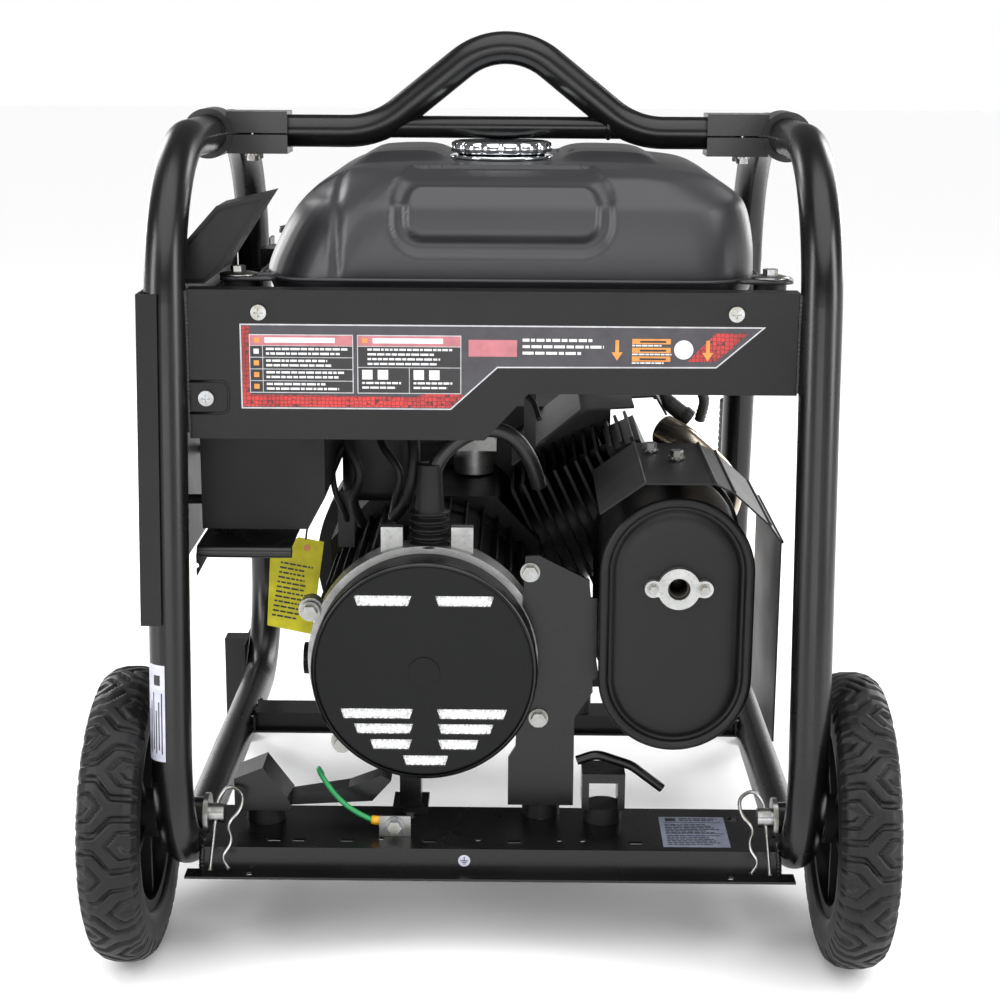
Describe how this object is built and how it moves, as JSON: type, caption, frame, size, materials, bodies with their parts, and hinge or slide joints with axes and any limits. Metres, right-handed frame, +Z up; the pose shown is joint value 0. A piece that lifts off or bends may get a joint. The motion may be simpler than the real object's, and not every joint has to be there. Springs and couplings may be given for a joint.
{
  "type": "portable generator",
  "caption": "Open-frame portable generator: bent-tube frame with lifting handle, steel tank, engine and alternator set, oval muffler, side control panel and two wheels.",
  "frame": {"origin": "on the ground, under the middle of the whole machine", "axes": "+Z up; -Y is the alternator end with the wheels, +Y the starter end with the fold-up handles; +X is the muffler side, -X the control panel side"},
  "size_m": [0.638, 0.6871, 0.7483],
  "materials": {
    "black_paint": "satin",
    "black_plastic": "matte",
    "rubber": "matte",
    "tyre": "matte",
    "cast_aluminium": "cast",
    "zinc_steel": "zinc plated",
    "shaft_steel": "turned",
    "chrome": "polished",
    "label": "printed",
    "laminations": "laminated",
    "muffler_black": "heat resistant paint",
    "red_plastic": "gloss"
  },
  "bodies": {
    "root": {"left_frame_hoop": "black_paint", "right_frame_hoop": "black_paint", "front_cross_pan": "black_paint", "rear_cross_member": "black_paint", "lifting_handle": "black_paint", "handle_clamps": "black_paint", "support_legs": "black_paint", "axle_pins": "zinc_steel", "fuel_tank": "black_paint", "tank_rails": "black_paint", "rubber_mounts": "rubber", "end_panel": "black_paint", "control_panel": "black_paint", "panel_hood": "black_paint", "panel_rear_box": "black_plastic", "outlets": "black_plastic", "panel_fittings": "black_plastic", "crankcase": "cast_aluminium", "cylinder_and_head": "cast_aluminium", "engine_shroud": "black_paint", "recoil_cover": "black_paint", "air_cleaner": "black_plastic", "carburettor": "cast_aluminium", "alternator_end_cover": "black_paint", "end_bracket": "cast_aluminium", "stator": "laminations", "support_plate": "black_paint", "mount_brackets": "black_paint", "muffler_body": "muffler_black", "outlet_flange": "cast_aluminium", "heat_shield": "black_paint", "exhaust_pipe": "shaft_steel", "cables_and_boots": "rubber", "labels": "label", "fasteners": "zinc_steel"},
    "left_wheel": {"left_tyre": "tyre", "left_rim": "black_plastic"},
    "right_wheel": {"right_tyre": "tyre", "right_rim": "black_plastic"},
    "left_carry_handle": {"left_fold_handle": "black_paint", "left_fold_grip": "rubber"},
    "right_carry_handle": {"right_fold_handle": "black_paint", "right_fold_grip": "rubber"},
    "rotating_group": {"rotor": "laminations", "crankshaft": "shaft_steel", "flywheel_fan": "cast_aluminium"},
    "piston_body": {"piston": "cast_aluminium"},
    "filler_cap": {"fuel_cap": "chrome"},
    "cover_1": {"outlet_cover_1": "black_plastic"},
    "cover_2": {"outlet_cover_2": "black_plastic"},
    "cover_3": {"outlet_cover_3": "black_plastic"},
    "breaker_1": {"breaker_button_1": "black_plastic"},
    "breaker_2": {"breaker_button_2": "black_plastic"},
    "breaker_3": {"breaker_button_3": "black_plastic"},
    "engine_rocker": {"engine_switch": "red_plastic"},
    "idle_rocker": {"idle_switch": "black_plastic"},
    "choke": {"choke_lever": "zinc_steel"},
    "fuel_tap": {"fuel_lever": "zinc_steel"},
    "starter_grip": {"recoil_grip": "black_plastic"},
    "oil_filler_cap": {"oil_cap": "black_plastic"}
  },
  "joints": [
    {"name": "left_wheel_spin", "type": "hinge", "parent": "root", "child": "left_wheel", "pos_m": [-0.29475, -0.223, 0.1205], "axis": [1, 0, 0], "continuous": true},
    {"name": "right_wheel_spin", "type": "hinge", "parent": "root", "child": "right_wheel", "pos_m": [0.29475, -0.223, 0.1205], "axis": [1, 0, 0], "continuous": true},
    {"name": "left_handle_fold", "type": "hinge", "parent": "root", "child": "left_carry_handle", "pos_m": [-0.251, 0.29771, 0.5255], "axis": [1, 0, 0], "range_deg": [0, 95]},
    {"name": "right_handle_fold", "type": "hinge", "parent": "root", "child": "right_carry_handle", "pos_m": [0.251, 0.29771, 0.5255], "axis": [1, 0, 0], "range_deg": [0, 95]},
    {"name": "crank_spin", "type": "hinge", "parent": "root", "child": "rotating_group", "pos_m": [-0.055, 0.012, 0.2395], "axis": [0, 1, 0], "continuous": true},
    {"name": "piston_stroke", "type": "slide", "parent": "root", "child": "piston_body", "axis": [0.9063, 0, 0.4226], "range_m": [-0.04, 0.018]},
    {"name": "filler_cap_turn", "type": "hinge", "parent": "root", "child": "filler_cap", "pos_m": [0.004, -0.026, 0.6505], "axis": [0, 0, 1], "range_deg": [0, 90]},
    {"name": "outlet_cover_1_hinge", "type": "hinge", "parent": "root", "child": "cover_1", "pos_m": [-0.278, -0.143, 0.3955], "axis": [0, 1, 0], "range_deg": [0, 110]},
    {"name": "outlet_cover_2_hinge", "type": "hinge", "parent": "root", "child": "cover_2", "pos_m": [-0.278, -0.058, 0.3955], "axis": [0, 1, 0], "range_deg": [0, 110]},
    {"name": "outlet_cover_3_hinge", "type": "hinge", "parent": "root", "child": "cover_3", "pos_m": [-0.278, 0.072, 0.3955], "axis": [0, 1, 0], "range_deg": [0, 110]},
    {"name": "breaker_1_press", "type": "slide", "parent": "root", "child": "breaker_1", "axis": [1, 0, 0], "range_m": [0, 0.003], "stiffness_N_per_m": 400, "springref_m": -0.001},
    {"name": "breaker_2_press", "type": "slide", "parent": "root", "child": "breaker_2", "axis": [1, 0, 0], "range_m": [0, 0.003], "stiffness_N_per_m": 400, "springref_m": -0.001},
    {"name": "breaker_3_press", "type": "slide", "parent": "root", "child": "breaker_3", "axis": [1, 0, 0], "range_m": [0, 0.003], "stiffness_N_per_m": 400, "springref_m": -0.001},
    {"name": "engine_switch_rock", "type": "hinge", "parent": "root", "child": "engine_rocker", "pos_m": [-0.27, 0.162, 0.4955], "axis": [0, 1, 0], "range_deg": [-10, 10]},
    {"name": "idle_switch_rock", "type": "hinge", "parent": "root", "child": "idle_rocker", "pos_m": [-0.27, 0.117, 0.4955], "axis": [0, 1, 0], "range_deg": [-10, 10]},
    {"name": "choke_turn", "type": "hinge", "parent": "root", "child": "choke", "pos_m": [-0.022, 0.062, 0.3805], "axis": [0, 1, 0], "range_deg": [0, 40]},
    {"name": "fuel_tap_turn", "type": "hinge", "parent": "root", "child": "fuel_tap", "pos_m": [-0.07, 0.179, 0.4855], "axis": [0, 1, 0], "range_deg": [0, 90]},
    {"name": "starter_pull", "type": "slide", "parent": "root", "child": "starter_grip", "axis": [0, 1, 0], "range_m": [0, 0.03]},
    {"name": "oil_cap_turn", "type": "hinge", "parent": "root", "child": "oil_filler_cap", "pos_m": [-0.168, 0.032, 0.1705], "axis": [1, 0, 0], "range_deg": [0, 180]}
  ]
}
